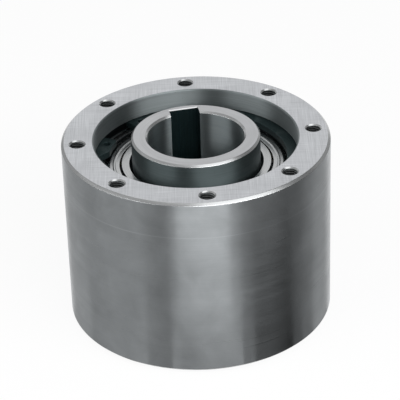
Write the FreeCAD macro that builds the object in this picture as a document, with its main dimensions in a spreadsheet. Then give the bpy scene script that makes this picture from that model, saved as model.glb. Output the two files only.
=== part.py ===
import FreeCAD, Part
import os
import re
import Sketcher
from FreeCAD import Placement, Rotation, Vector

# A one-way cam clutch carried on its own two ball bearings, in millimetres.
# +Z is the axis of rotation. The inner race stands on its lower end at Z = 0,
# and the tapped holes of the outer race lie at multiples of their spacing from +X.

# Driving sizes: alias, value, meaning
SIZES = [
    ("race_wall", 15.0, "wall of the outer race outside the bearing seats"),
    ("race_length", 89.0, "length of the outer race"),
    ("race_edge", 1.2, "chamfer round both ends of the outer race"),
    ("seat_mouth", 0.6, "chamfer at the mouth of each bearing seat"),
    ("bearing_outside", 95.0, "outside diameter of a bearing and bore of its seat"),
    ("bearing_bore", 60.0, "bore of a bearing and diameter of the inner race in it"),
    ("bearing_width", 18.0, "width of a bearing"),
    ("bearing_depth", 13.0, "from the end of the outer race down to the bearing"),
    ("bearing_corner", 1.4, "chamfer at the seat edges of the bearing rings"),
    ("hole_count", 8, "holes through the outer race, tapped from both ends"),
    ("hole_diameter", 8.0, "outside diameter of the thread"),
    ("hole_wall", 1.75, "wall between a tapped hole and the circlip groove"),
    ("thread_depth", 14.0, "length of the thread at each end"),
    ("drill_diameter", 6.8, "drill under the thread"),
    ("clip_thickness", 3.0, "thickness of a circlip"),
    ("clip_play", 0.15, "axial play of a circlip in its groove"),
    ("clip_groove", 1.75, "depth of the circlip groove in the seat"),
    ("clip_clearance", 0.15, "gap between circlip and groove floor"),
    ("clip_width", 6.8, "radial width of a circlip at its back"),
    ("clip_taper", 2.6, "shift of the circle that narrows the arms to the lugs"),
    ("clip_arm", 3.9, "radial width of an arm where it meets its lug"),
    ("clip_gap_angle", 22.0, "angle of the gap between the lugs"),
    ("clip_turn_angle", 139.6, "direction of the gap of the upper circlip"),
    ("lug_depth", 8.1, "radial depth of the lugs"),
    ("lug_angle", 16.5, "angle that each lug takes up"),
    ("lug_slope_angle", 6.5, "further angle in which a lug runs out into its arm"),
    ("lug_corner", 1.6, "rounding of the corners of the lugs"),
    ("lug_hole", 3.4, "diameter of the plier holes"),
    ("lug_hole_inset", 3.1, "from the inner edge of a lug to its plier hole"),
    ("lug_hole_angle", 7.0, "angle from the end of a lug to its plier hole"),
    ("shaft_bore", 45.0, "bore of the inner race"),
    ("inner_length", 91.0, "length of the inner race"),
    ("bore_edge", 1.0, "chamfer of the bore"),
    ("hub_edge", 1.0, "chamfer round both ends of the inner race"),
    ("hub_shoulder", 3.0, "height of the shoulders that the inner rings seat on"),
    ("key_width", 14.0, "width of the keyway"),
    ("key_depth", 3.8, "depth of the keyway in the bore"),
    ("key_edge", 0.4, "chamfer at both ends of the keyway"),
    ("key_turn_angle", 97.8, "direction of the keyway"),
    ("cam_space", 8.33, "radial space between the two cam tracks"),
    ("ball_diameter", 11.0, "diameter of a bearing ball"),
    ("ball_count", 12, "balls in each bearing"),
    ("ball_clearance", 0.1, "gap between a ball and the bottom of its groove"),
    ("groove_excess", 0.22, "radius of a ball groove above that of a ball"),
    ("land_offset", 3.3, "from the ball circle to the shoulders of both rings"),
    ("inner_step", 0.55, "step down from the inner ring's shoulder to its edge"),
    ("outer_step", 1.15, "step out from the outer ring's shoulder to its mouth"),
    ("snap_depth", 0.6, "depth of the groove that holds a shield, from the mouth"),
    ("shield_clearance", 0.1, "gap round the rim of a shield"),
    ("shield_gap", 1.1, "gap between a shield and the inner ring"),
    ("shield_sheet", 0.6, "sheet thickness of a shield"),
    ("shield_sunk", 0.6, "from the bearing's face down to a shield"),
    ("shield_rim_drop", 0.7, "from the flat of a shield down to its rim"),
    ("shield_rim_width", 1.6, "radial width of the rim of a shield"),
    ("shield_slope_width", 1.6, "radial width of the slope from flat to rim"),
    ("bead_inset", 1.8, "from the inner edge of a shield to its bead"),
    ("bead_width", 1.3, "width of the bead in a shield"),
    ("bead_height", 0.3, "height and side width of the bead"),
    ("lip_depth", 0.55, "depth of the turned-in lip of a shield"),
    ("ball_cage_gap", 1.6, "gap between a ball cage and the rings' shoulders"),
    ("ball_cage_play", 0.9, "gap between a ball cage and the shield over it"),
    ("ball_cage_claw", 2.6, "from the ball centres to the open side of a cage"),
    ("pocket_clearance", 0.2, "gap between a ball and its pocket"),
    ("cam_count", 20, "cams in the clutch"),
    ("cam_crown", 4.9, "radius of both working faces of a cam"),
    ("cam_offset", 0.7, "sideways shift of each working face"),
    ("cam_clearance", 0.12, "gap between a free-running cam and each track"),
    ("cam_broad", 2.9, "half width of a cam at its leading corners"),
    ("cam_narrow", 2.3, "half width of a cam at its trailing corners"),
    ("cam_end_gap", 0.4, "gap between a cam and the end rings of the cam cage"),
    ("notch_width", 2.2, "width of the spring notches in a cam"),
    ("notch_inset", 3.7, "from the end of a cam to the middle of its notch"),
    ("notch_floor", 0.2, "height of the notch floor above the middle of a cam"),
    ("spring_gap", 0.5, "gap between a spring and the notch floors"),
    ("spring_width", 1.6, "axial width of a cam spring"),
    ("spring_thickness", 0.8, "radial thickness of a cam spring"),
    ("cage_play", 0.3, "gap at each end of the cam cage"),
    ("cage_flange", 1.6, "thickness of the end rings of the cam cage"),
    ("cage_rim_gap", 0.25, "gap between the cam cage and the outer track"),
    ("cage_foot_gap", 0.5, "gap between the cam cage and the inner track"),
    ("sleeve_gap", 1.5, "gap between the sleeve of the cam cage and the inner track"),
    ("sleeve_thickness", 1.8, "wall of the sleeve of the cam cage"),
    ("window_play", 0.5, "gap beside a cam in its window"),
    ("window_end_play", 0.2, "gap at the end of a cam in its window"),
]

# Radii that several pieces share
SEAT = "bearing_outside / 2"
RACE_EDGE = "bearing_outside / 2 + race_wall"
GROOVE_FLOOR = "bearing_outside / 2 + clip_groove"
HOLE_CIRCLE = "bearing_outside / 2 + clip_groove + hole_wall + hole_diameter / 2"
CLIP_OUTSIDE = "bearing_outside / 2 + clip_groove - clip_clearance"
HUB = "bearing_bore / 2"
TRACK = "bearing_bore / 2 + hub_shoulder"
OUTER_TRACK = "bearing_bore / 2 + hub_shoulder + cam_space"
CAM_CIRCLE = "bearing_bore / 2 + hub_shoulder + cam_space / 2"
BALL_CIRCLE = "(bearing_outside + bearing_bore) / 4"
INNER_LAND = f"{BALL_CIRCLE} - land_offset"
OUTER_LAND = f"{BALL_CIRCLE} + land_offset"
INNER_STEP = f"{INNER_LAND} - inner_step"
MOUTH = f"{OUTER_LAND} + outer_step"
BALL_GROOVE = "ball_diameter / 2 + groove_excess"

# Heights above the middle plane of the clutch
RACE_END = "race_length / 2"
BEARING_FACE = "race_length / 2 - bearing_depth"
UPPER_BEARING = "race_length / 2 - bearing_depth - bearing_width / 2"
CHAMBER = "race_length / 2 - bearing_depth - bearing_width"
CAM_END = f"{CHAMBER} - cage_play - cage_flange - cam_end_gap"
NOTCH = f"{CAM_END} - notch_inset"

# Heights above the middle plane of a bearing
RING_FACE = "bearing_width / 2"
SHIELD_TOP = "bearing_width / 2 - shield_sunk"
SHIELD_FOOT = "bearing_width / 2 - shield_sunk - shield_sheet"
RIM_TOP = "bearing_width / 2 - shield_sunk - shield_rim_drop"
RIM_FOOT = "bearing_width / 2 - shield_sunk - shield_rim_drop - shield_sheet"

document = FreeCAD.newDocument("cam_clutch_bearing")
sheet = document.addObject("Spreadsheet::Sheet", "Sizes")
for row, (alias, size, meaning) in enumerate(SIZES, start=1):
    sheet.set(f"A{row}", meaning)
    sheet.set(f"B{row}", str(size))
    sheet.setAlias(f"B{row}", alias)
document.recompute()

parts = []


def formula(text):
    """Point every alias in a formula at the sheet."""
    return re.sub(r"\b([a-z]+(?:_[a-z]+)+)\b", r"Sizes.\1", text)


def value(text):
    """Work a formula out, as a number."""
    result = sheet.evalExpression(formula(text))
    return float(getattr(result, "Value", result))


def bind(thing, path, text):
    thing.setExpression(path, formula(text))


def polar(radius, angle):
    """A point given by its distance from the axis and its direction in degrees."""
    return f"({radius}) * cos({angle})", f"({radius}) * sin({angle})"


def place(thing, height="0", turn="0", flip=False, circle="0", swing="0"):
    """Stand a piece at its height above the middle plane, turned about the axis.

    A flipped piece is the lower one of a pair and lies the other way up, unturned.
    A piece with a circle radius stands on that circle, swung round the axis.
    """
    if flip:
        thing.Placement = Placement(Vector(), Rotation(Vector(1, 0, 0), 180))
        height = f"-({height})"
    else:
        thing.Placement = Placement(Vector(), Rotation(Vector(0, 0, 1), value(turn)))
        bind(thing, "Placement.Rotation.Angle", turn)
    x, y = polar(circle, swing)
    bind(thing, "Placement.Base.x", x)
    bind(thing, "Placement.Base.y", y)
    bind(thing, "Placement.Base.z", f"inner_length / 2 + {height}")


def new_body(name):
    body = document.addObject("PartDesign::Body", name)
    body.Label = name
    parts.append(body)
    return body


def origin_part(body, role):
    return next(item for item in body.Origin.OriginFeatures if item.Role == role)


def new_sketch(body, name, plane):
    sketch = body.newObject("Sketcher::SketchObject", name)
    sketch.AttachmentSupport = [(origin_part(body, plane), "")]
    sketch.MapMode = "FlatFace"
    return sketch


def fix(sketch, kind, geometry, point, text):
    """Hold one coordinate of a sketch point, or a radius, to a formula."""
    if text == "0":
        axis = -2 if kind == "DistanceX" else -1
        sketch.addConstraint(Sketcher.Constraint("PointOnObject", geometry, point, axis))
        return
    where = (geometry, point) if point else (geometry,)
    index = sketch.addConstraint(Sketcher.Constraint(kind, *where, value(text)))
    bind(sketch, f"Constraints[{index}]", text)


def add_outline(sketch, corners):
    """Draw a closed outline of straight edges whose corners follow formulas."""
    first = sketch.GeometryCount
    count = len(corners)
    spots = [Vector(value(x), value(y), 0) for x, y in corners]
    for i in range(count):
        sketch.addGeometry(Part.LineSegment(spots[i], spots[(i + 1) % count]), False)
    for i in range(count):
        after = first + (i + 1) % count
        sketch.addConstraint(Sketcher.Constraint("Coincident", first + i, 2, after, 1))
    for i, (x, y) in enumerate(corners):
        fix(sketch, "DistanceX", first + i, 1, x)
        fix(sketch, "DistanceY", first + i, 1, y)


def add_circle(sketch, x, y, radius):
    circle = Part.Circle(Vector(value(x), value(y), 0), Vector(0, 0, 1), value(radius))
    index = sketch.addGeometry(circle, False)
    fix(sketch, "DistanceX", index, 3, x)
    fix(sketch, "DistanceY", index, 3, y)
    fix(sketch, "Radius", index, 0, radius)


def mirrored(corners):
    """Complete an outline whose corners are given for its upper half only."""
    return corners + [(x, f"-({y})") for x, y in reversed(corners)]


def revolve(body, name, corners):
    """Turn a piece from its section, as radius and height."""
    sketch = new_sketch(body, name + "_section", "XZ_Plane")
    add_outline(sketch, corners)
    feature = body.newObject("PartDesign::Revolution", name)
    feature.Profile = sketch
    feature.ReferenceAxis = (sketch, ["V_Axis"])
    feature.Angle = 360
    document.recompute()


def cut_away(body, feature, base=None):
    """Update the body after a cut, and stop if the cut met nothing."""
    before = (base or feature.BaseFeature).Shape.Volume
    document.recompute()
    if feature.Shape.isNull():
        raise RuntimeError(f"{body.Label}: {feature.Name} failed")
    if not feature.Shape.Volume < before:
        raise RuntimeError(f"{body.Label}: {feature.Name} cuts nothing")


def turn_groove(body, name, sketch, axis):
    groove = body.newObject("PartDesign::Groove", name)
    groove.Profile = sketch
    groove.ReferenceAxis = (sketch, [axis])
    groove.Angle = 360
    cut_away(body, groove)
    return groove


def pocket(body, name, sketch, length=None, reverse=False):
    cut = body.newObject("PartDesign::Pocket", name)
    cut.Profile = sketch
    cut.Reversed = reverse
    if length is None:
        cut.Type = "ThroughAll"
    else:
        bind(cut, "Length", length)
    cut_away(body, cut)
    return cut


def repeat(body, name, feature, count):
    """Repeat a feature evenly round the axis."""
    pattern = body.newObject("PartDesign::PolarPattern", name)
    pattern.Originals = [feature]
    pattern.Axis = (origin_part(body, "Z_Axis"), [""])
    pattern.Angle = 360
    bind(pattern, "Occurrences", count)
    body.Tip = pattern
    cut_away(body, pattern, feature)


def outer_race():
    body = new_body("outer_race")
    groove_top = f"{BEARING_FACE} + clip_thickness + clip_play"
    revolve(body, "race_blank", mirrored([
        (RACE_EDGE, f"{RACE_END} - race_edge"),
        (f"{RACE_EDGE} - race_edge", RACE_END),
        (f"{SEAT} + seat_mouth", RACE_END),
        (SEAT, f"{RACE_END} - seat_mouth"),
        (SEAT, groove_top),
        (GROOVE_FLOOR, groove_top),
        (GROOVE_FLOOR, BEARING_FACE),
        (SEAT, BEARING_FACE),
        (SEAT, CHAMBER),
        (OUTER_TRACK, CHAMBER),
    ]))
    tapped_holes(body)
    place(body)


def tapped_holes(body):
    """A ring of holes drilled through, with a thread from each end."""
    thread_end = f"{RACE_END} - thread_depth"
    section = new_sketch(body, "hole_section", "XZ_Plane")
    add_outline(section, mirrored([
        (HOLE_CIRCLE, RACE_END),
        (f"{HOLE_CIRCLE} + hole_diameter / 2", RACE_END),
        (f"{HOLE_CIRCLE} + hole_diameter / 2", thread_end),
        (f"{HOLE_CIRCLE} + drill_diameter / 2", thread_end),
    ]))
    middle = Part.LineSegment(
        Vector(value(HOLE_CIRCLE), value(RACE_END), 0), Vector(value(HOLE_CIRCLE), 0, 0),
    )
    line = section.addGeometry(middle, True)
    section.addConstraint(Sketcher.Constraint("Coincident", line, 1, 0, 1))
    fix(section, "DistanceX", line, 2, HOLE_CIRCLE)
    fix(section, "DistanceY", line, 2, "0")
    hole = turn_groove(body, "hole", section, "Axis0")
    repeat(body, "holes", hole, "hole_count")


def inner_race():
    body = new_body("inner_race")
    bore = "shaft_bore / 2"
    end = "inner_length / 2"
    revolve(body, "race_blank", mirrored([
        (TRACK, CHAMBER),
        (HUB, CHAMBER),
        (HUB, f"{end} - hub_edge"),
        (f"{HUB} - hub_edge", end),
        (f"{bore} + bore_edge", end),
        (bore, f"{end} - bore_edge"),
    ]))
    floor = f"{bore} + key_depth"
    half = "key_width / 2"
    slot = new_sketch(body, "keyway_section", "XY_Plane")
    add_outline(slot, [("0", f"-{half}"), (floor, f"-{half}"), (floor, half), ("0", half)])
    keyway = pocket(body, "keyway", slot)
    keyway.SideType = "Symmetric"
    cut_away(body, keyway)
    for side, sign in (("upper", ""), ("lower", "-")):
        mouth = new_sketch(body, f"{side}_keyway_mouth_section", "XZ_Plane")
        add_outline(mouth, [
            (bore, f"{sign}({end})"),
            (f"{floor} + key_edge", f"{sign}({end})"),
            (floor, f"{sign}({end} - key_edge)"),
            (bore, f"{sign}({end} - key_edge)"),
        ])
        bevel = body.newObject("PartDesign::Pocket", f"{side}_keyway_mouth")
        bevel.Profile = mouth
        bevel.SideType = "Symmetric"
        bind(bevel, "Length", "key_width")
        cut_away(body, bevel)
    place(body, turn="key_turn_angle")


def circlip(side, flip):
    """A retaining ring whose arms narrow towards the lugs, with its gap at +X."""
    body = new_body(f"{side}_circlip")
    inside = f"{CLIP_OUTSIDE} - clip_width"
    lug_inside = f"{CLIP_OUTSIDE} - lug_depth"
    lug_start = "clip_gap_angle / 2"
    lug_end = "clip_gap_angle / 2 + lug_angle"
    arm_start = "clip_gap_angle / 2 + lug_angle + lug_slope_angle"
    arm_inside = f"{CLIP_OUTSIDE} - clip_arm"
    ring = new_sketch(body, "ring_section", "XY_Plane")
    add_circle(ring, "0", "0", CLIP_OUTSIDE)
    add_circle(ring, "0", "0", inside)
    blank = body.newObject("PartDesign::Pad", "ring")
    blank.Profile = ring
    bind(blank, "Length", "clip_thickness")
    document.recompute()
    taper = new_sketch(body, "taper_section", "XY_Plane")
    taper_radius = f"{arm_inside} - clip_taper * cos({arm_start})"
    add_circle(taper, "clip_taper", "0", taper_radius)
    pocket(body, "taper", taper, reverse=True)
    middle = f"({arm_inside} + {CLIP_OUTSIDE}) / 2"
    for hand, sign in (("left", ""), ("right", "-")):
        lug = new_sketch(body, f"{hand}_lug_section", "XY_Plane")
        add_outline(lug, [
            polar(middle, f"{sign}({lug_start})"),
            polar(lug_inside, f"{sign}({lug_start})"),
            polar(lug_inside, f"{sign}({lug_start} + lug_angle / 2)"),
            polar(lug_inside, f"{sign}({lug_end})"),
            polar(arm_inside, f"{sign}({arm_start})"),
            polar(middle, f"{sign}({arm_start})"),
        ])
        pad = body.newObject("PartDesign::Pad", f"{hand}_lug")
        pad.Profile = lug
        bind(pad, "Length", "clip_thickness")
        document.recompute()
    gap = new_sketch(body, "gap_section", "XY_Plane")
    beyond = f"({GROOVE_FLOOR}) / cos({lug_start})"
    add_outline(gap, [
        ("0", "0"),
        polar(beyond, f"-({lug_start})"),
        polar(beyond, lug_start),
    ])
    pocket(body, "gap", gap, reverse=True)
    holes = new_sketch(body, "plier_hole_section", "XY_Plane")
    hole_radius = f"{lug_inside} + lug_hole_inset"
    for sign in ("", "-"):
        spot = polar(hole_radius, f"{sign}({lug_start} + lug_hole_angle)")
        add_circle(holes, *spot, "lug_hole / 2")
    pocket(body, "plier_holes", holes, reverse=True)
    corners = [polar(lug_inside, f"{sign}({angle})")
               for sign in ("", "-") for angle in (lug_start, lug_end)]
    round_corners(body, "lug_corners", corners, "lug_corner")
    place(body, BEARING_FACE, "clip_turn_angle", flip)


def round_corners(body, name, corners, radius):
    """Round the upright edges that stand at the given points."""
    spots = [Vector(value(x), value(y), 0) for x, y in corners]
    names = []
    for number, edge in enumerate(body.Tip.Shape.Edges, start=1):
        start, end = edge.Vertexes[0].Point, edge.Vertexes[-1].Point
        foot = Vector(start.x, start.y, 0)
        upright = foot.isEqual(Vector(end.x, end.y, 0), 1e-6)
        if upright and any(foot.isEqual(spot, 1e-4) for spot in spots):
            names.append(f"Edge{number}")
    if len(names) != len(corners):
        raise RuntimeError(f"{body.Label}: found {len(names)} of {len(corners)} corners")
    base = body.Tip
    fillet = body.newObject("PartDesign::Fillet", name)
    fillet.Base = (base, names)
    bind(fillet, "Radius", radius)
    document.recompute()


def bearing_outer_ring(side, flip):
    body = new_body(f"{side}_bearing_outer_ring")
    groove = f"{MOUTH} + snap_depth"
    groove_top = f"{RIM_TOP} + shield_clearance"
    groove_foot = f"{RIM_FOOT} - shield_clearance"
    revolve(body, "ring_blank", mirrored([
        (SEAT, f"{RING_FACE} - bearing_corner"),
        (f"{SEAT} - bearing_corner", RING_FACE),
        (MOUTH, RING_FACE),
        (MOUTH, groove_top),
        (groove, groove_top),
        (groove, groove_foot),
        (OUTER_LAND, groove_foot),
    ]))
    bottom = f"{BALL_CIRCLE} + ball_diameter / 2 + ball_clearance"
    raceway(body, f"{bottom} - ({BALL_GROOVE})")
    place(body, UPPER_BEARING, flip=flip)


def bearing_inner_ring(side, flip):
    body = new_body(f"{side}_bearing_inner_ring")
    shoulder = f"{SHIELD_FOOT} - 2 * lip_depth"
    revolve(body, "ring_blank", mirrored([
        (INNER_LAND, shoulder),
        (INNER_STEP, shoulder),
        (INNER_STEP, RING_FACE),
        (f"{HUB} + bearing_corner", RING_FACE),
        (HUB, f"{RING_FACE} - bearing_corner"),
    ]))
    bottom = f"{BALL_CIRCLE} - ball_diameter / 2 - ball_clearance"
    raceway(body, f"{bottom} + {BALL_GROOVE}")
    place(body, UPPER_BEARING, flip=flip)


def raceway(body, centre):
    sketch = new_sketch(body, "raceway_section", "XZ_Plane")
    add_circle(sketch, centre, "0", BALL_GROOVE)
    turn_groove(body, "raceway", sketch, "V_Axis")


def shield(side, flip, face):
    """A pressed sheet shield, snapped into the outer ring on one face of a bearing."""
    body = new_body(f"{side}_{face}_shield")
    inside = f"{INNER_STEP} + shield_gap"
    bead_in = f"{inside} + bead_inset"
    bead_out = f"{bead_in} + bead_width"
    bead_top = f"{SHIELD_TOP} + bead_height"
    rim = f"{MOUTH} + snap_depth - shield_clearance"
    slope_end = f"{rim} - shield_rim_width"
    slope_start = f"{slope_end} - shield_slope_width"
    section = [
        (inside, SHIELD_TOP),
        (bead_in, SHIELD_TOP),
        (f"{bead_in} + bead_height", bead_top),
        (f"{bead_out} - bead_height", bead_top),
        (bead_out, SHIELD_TOP),
        (slope_start, SHIELD_TOP),
        (slope_end, RIM_TOP),
        (rim, RIM_TOP),
        (rim, RIM_FOOT),
        (f"{slope_end} - shield_sheet / 3", RIM_FOOT),
        (f"{slope_start} - shield_sheet / 3", SHIELD_FOOT),
        (f"{inside} + shield_sheet", SHIELD_FOOT),
        (f"{inside} + shield_sheet", f"{SHIELD_FOOT} - lip_depth"),
        (inside, f"{SHIELD_FOOT} - lip_depth"),
    ]
    if face == "inboard":
        section = [(x, f"-({z})") for x, z in section]
    revolve(body, "shield_sheet", section)
    place(body, UPPER_BEARING, flip=flip)


def balls(side, flip):
    """One ring of balls, midway between the bearing's bore and its outside."""
    count = int(value("ball_count"))
    ring = []
    for number in range(count):
        ball = document.addObject("Part::Sphere", f"{side}_ball")
        bind(ball, "Radius", "ball_diameter / 2")
        x, y = polar(BALL_CIRCLE, f"360 * {number} / ball_count")
        bind(ball, "Placement.Base.x", x)
        bind(ball, "Placement.Base.y", y)
        ring.append(ball)
    group = document.addObject("Part::Compound", f"{side}_balls")
    group.Label = f"{side}_balls"
    group.Links = ring
    place(group, UPPER_BEARING, flip=flip)
    parts.append(group)


def ball_cage(side, flip):
    """A crown of one moulding, whose pockets are open on the inboard side."""
    body = new_body(f"{side}_ball_cage")
    inside = f"{INNER_LAND} + ball_cage_gap"
    outside = f"{OUTER_LAND} - ball_cage_gap"
    back = f"{SHIELD_FOOT} - ball_cage_play"
    revolve(body, "crown_blank", [
        (inside, "-ball_cage_claw"),
        (outside, "-ball_cage_claw"),
        (outside, back),
        (inside, back),
    ])
    sketch = new_sketch(body, "pocket_section", "YZ_Plane")
    add_circle(sketch, "0", "0", "ball_diameter / 2 + pocket_clearance")
    hollow = pocket(body, "pocket", sketch, SEAT, reverse=True)
    repeat(body, "pockets", hollow, "ball_count")
    place(body, UPPER_BEARING, flip=flip)


def cam(number):
    """A cam between the two tracks: each working face is an arc set off to one side.

    The cam tilts about its own middle. Tilting anticlockwise makes it taller.
    """
    body = new_body(f"cam_{number + 1:02d}")
    reach = f"{OUTER_TRACK} - cam_clearance - cam_crown"
    stand = f"{TRACK} + cam_clearance + cam_crown"
    crown_y = f"sqrt(({reach}) * ({reach}) - cam_offset * cam_offset) - ({CAM_CIRCLE})"
    foot_y = f"sqrt(({stand}) * ({stand}) - cam_offset * cam_offset) - ({CAM_CIRCLE})"
    crown_side = "sqrt(cam_crown * cam_crown - ({0}) * ({0}))"
    right_x, left_x = "cam_broad", "-cam_narrow"
    right_y = f"({crown_y}) + " + crown_side.format("cam_broad - cam_offset")
    left_y = f"({crown_y}) + " + crown_side.format("cam_narrow + cam_offset")
    low_left_y = f"({foot_y}) - " + crown_side.format("cam_broad - cam_offset")
    low_right_y = f"({foot_y}) - " + crown_side.format("cam_narrow + cam_offset")
    sketch = new_sketch(body, "cam_section", "XY_Plane")
    crown = add_arc(sketch, ("cam_offset", crown_y), (right_x, right_y), (left_x, left_y))
    foot = add_arc(sketch, ("-cam_offset", foot_y),
                   ("-cam_broad", low_left_y), ("cam_narrow", low_right_y))
    for start, end in ((crown, foot), (foot, crown)):
        ends = [sketch.getPoint(start, 2), sketch.getPoint(end, 1)]
        side = sketch.addGeometry(Part.LineSegment(*ends), False)
        sketch.addConstraint(Sketcher.Constraint("Coincident", start, 2, side, 1))
        sketch.addConstraint(Sketcher.Constraint("Coincident", side, 2, end, 1))
    blank = body.newObject("PartDesign::Pad", "cam_blank")
    blank.Profile = sketch
    blank.SideType = "Symmetric"
    bind(blank, "Length", f"2 * ({CAM_END})")
    document.recompute()
    notches = new_sketch(body, "notch_section", "YZ_Plane")
    for sign in ("", "-"):
        near = f"{sign}({NOTCH} - notch_width / 2)"
        far = f"{sign}({NOTCH} + notch_width / 2)"
        top = "cam_space"
        add_outline(notches, [
            ("notch_floor", near), (top, near), (top, far), ("notch_floor", far),
        ])
    slots = body.newObject("PartDesign::Pocket", "notches")
    slots.Profile = notches
    slots.SideType = "Symmetric"
    bind(slots, "Length", "4 * cam_broad")
    cut_away(body, slots)
    swing = f"360 * {number} / cam_count"
    place(body, turn=f"{swing} - 90", circle=CAM_CIRCLE, swing=swing)


def add_arc(sketch, centre, start, end):
    """Draw an arc anticlockwise from start to end and hold its centre and ends."""
    middle = Vector(value(centre[0]), value(centre[1]), 0)
    first = Vector(value(start[0]), value(start[1]), 0) - middle
    last = Vector(value(end[0]), value(end[1]), 0) - middle
    circle = Part.Circle(middle, Vector(0, 0, 1), first.Length)
    angles = [circle.parameter(middle + first), circle.parameter(middle + last)]
    index = sketch.addGeometry(Part.ArcOfCircle(circle, *angles), False)
    for point, (x, y) in ((3, centre), (1, start)):
        fix(sketch, "DistanceX", index, point, x)
        fix(sketch, "DistanceY", index, point, y)
    fix(sketch, "DistanceX", index, 2, end[0])
    return index


def cam_cage():
    """A sleeve with a window for each cam and a ring at each end."""
    body = new_body("cam_cage")
    rim = f"{OUTER_TRACK} - cage_rim_gap"
    foot = f"{TRACK} + cage_foot_gap"
    sleeve_foot = f"{TRACK} + sleeve_gap"
    sleeve_top = f"{sleeve_foot} + sleeve_thickness"
    end = f"{CHAMBER} - cage_play"
    inner_face = f"{end} - cage_flange"
    revolve(body, "cage_blank", [
        (foot, f"-({end})"),
        (rim, f"-({end})"),
        (rim, f"-({inner_face})"),
        (sleeve_top, f"-({inner_face})"),
        (sleeve_top, inner_face),
        (rim, inner_face),
        (rim, end),
        (foot, end),
        (foot, inner_face),
        (sleeve_foot, inner_face),
        (sleeve_foot, f"-({inner_face})"),
        (foot, f"-({inner_face})"),
    ])
    half_width = "cam_broad + window_play"
    half_length = f"{CAM_END} + window_end_play"
    sketch = new_sketch(body, "window_section", "YZ_Plane")
    add_outline(sketch, [
        (f"-({half_width})", f"-({half_length})"),
        (half_width, f"-({half_length})"),
        (half_width, half_length),
        (f"-({half_width})", half_length),
    ])
    window = pocket(body, "window", sketch, OUTER_TRACK, reverse=True)
    repeat(body, "windows", window, "cam_count")
    place(body)


def cam_spring(side, flip):
    """A flat spring ring that lies in one row of cam notches."""
    body = new_body(f"{side}_cam_spring")
    inside = f"{CAM_CIRCLE} + notch_floor + spring_gap"
    outside = f"{inside} + spring_thickness"
    revolve(body, "spring_ring", [
        (inside, "-spring_width / 2"),
        (outside, "-spring_width / 2"),
        (outside, "spring_width / 2"),
        (inside, "spring_width / 2"),
    ])
    place(body, NOTCH, flip=flip)


def check_and_export():
    document.recompute()
    for item in document.Objects:
        if "Invalid" in item.State or "Error" in item.State:
            raise RuntimeError(f"{item.Label}: {item.State}")
    for part in parts:
        if part.Shape.isNull() or not part.Shape.isValid() or not part.Shape.Solids:
            raise RuntimeError(f"{part.Label}: no valid solid")
    os.makedirs("parts", exist_ok=True)
    for part in parts:
        part.Shape.exportStep(os.path.join("parts", part.Label + ".step"))


outer_race()
inner_race()
for side, flip in (("upper", False), ("lower", True)):
    circlip(side, flip)
    bearing_outer_ring(side, flip)
    bearing_inner_ring(side, flip)
    shield(side, flip, "outboard")
    shield(side, flip, "inboard")
    balls(side, flip)
    ball_cage(side, flip)
    cam_spring(side, flip)
cam_cage()
for number in range(int(value("cam_count"))):
    cam(number)
check_and_export()
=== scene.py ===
import math

import bpy
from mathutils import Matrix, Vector


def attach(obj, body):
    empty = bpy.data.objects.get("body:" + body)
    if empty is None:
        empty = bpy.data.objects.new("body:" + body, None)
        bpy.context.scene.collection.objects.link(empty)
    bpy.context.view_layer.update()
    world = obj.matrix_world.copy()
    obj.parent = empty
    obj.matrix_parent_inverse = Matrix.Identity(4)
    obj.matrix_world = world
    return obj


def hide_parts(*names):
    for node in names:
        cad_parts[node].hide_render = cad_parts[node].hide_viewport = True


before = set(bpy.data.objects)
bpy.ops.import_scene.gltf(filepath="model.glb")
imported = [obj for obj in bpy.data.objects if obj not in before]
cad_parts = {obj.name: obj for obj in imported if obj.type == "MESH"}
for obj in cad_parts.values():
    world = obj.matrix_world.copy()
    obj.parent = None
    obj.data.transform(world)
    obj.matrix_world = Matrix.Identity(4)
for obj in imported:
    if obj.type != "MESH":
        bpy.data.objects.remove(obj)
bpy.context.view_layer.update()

# Sizes in millimetres, in the frame of the CAD model: the axis of rotation is Z
MM = 0.001
MIDDLE = 45.5            # height of the clutch's middle plane

RACE_RADIUS = 62.5       # outside of the outer race
RACE_TOP = 90.0
RACE_END = RACE_TOP - MIDDLE
RACE_EDGE = 1.2          # chamfer of its outer edges
RECESS_RADIUS = 47.5     # bore of the outer race, in which the bearings sit
RECESS_EDGE = 0.6
OUTER_TRACK = 41.33      # radius of the track that the cams touch from inside
TRACK_TOP = 59.0
GROOVE_RADIUS = 49.25    # bottom of the circlip groove
GROOVE_TOP = 80.15

HUB_RADIUS = 30.0        # outside of the inner race, under the bearings
HUB_TOP = 91.0
HUB_END = HUB_TOP - MIDDLE
HUB_EDGE = 1.0
BORE_RADIUS = 22.5
INNER_TRACK = 33.0
KEY_TURN = 97.8          # direction of the keyway
KEY_WIDTH = 14.0
KEY_FLOOR = 26.3         # from the axis to the keyway's floor
KEY_EDGE = 0.4

HOLE_CIRCLE = 55.0
HOLE_PITCH = 45.0        # degrees between two tapped holes
HOLES = 8
THREAD_RADIUS = 4.0
THREAD_PITCH = 1.25
THREAD_BOTTOM = 76.0     # lower end of the upper threads
DRILL_RADIUS = 3.4

BEARING_HEIGHT = 68.0    # middle of the upper bearing
BEARING_TOP = 77.0
RING_EDGE = 1.4          # chamfer of a bearing ring
BALL_GROOVE = 5.72       # radius of a ball groove's section
INNER_LIP = 34.9         # outer edge of the inner ring's end face
OUTER_LIP = 43.2         # inner edge of the outer ring's end face
SHIELD_BORE = 36.0

FLAT = 0.97              # a face is level when the Z part of its normal is more than this
UPRIGHT = 0.2            # and stands upright when it is less than this


# Handling a piece

def put_down():
    """Leave edit mode, with nothing selected."""
    if bpy.context.mode != "OBJECT":
        bpy.ops.object.mode_set(mode="OBJECT")
    bpy.ops.object.select_all(action="DESELECT")


def pick_up(piece):
    put_down()
    piece.select_set(True)
    bpy.context.view_layer.objects.active = piece


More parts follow.
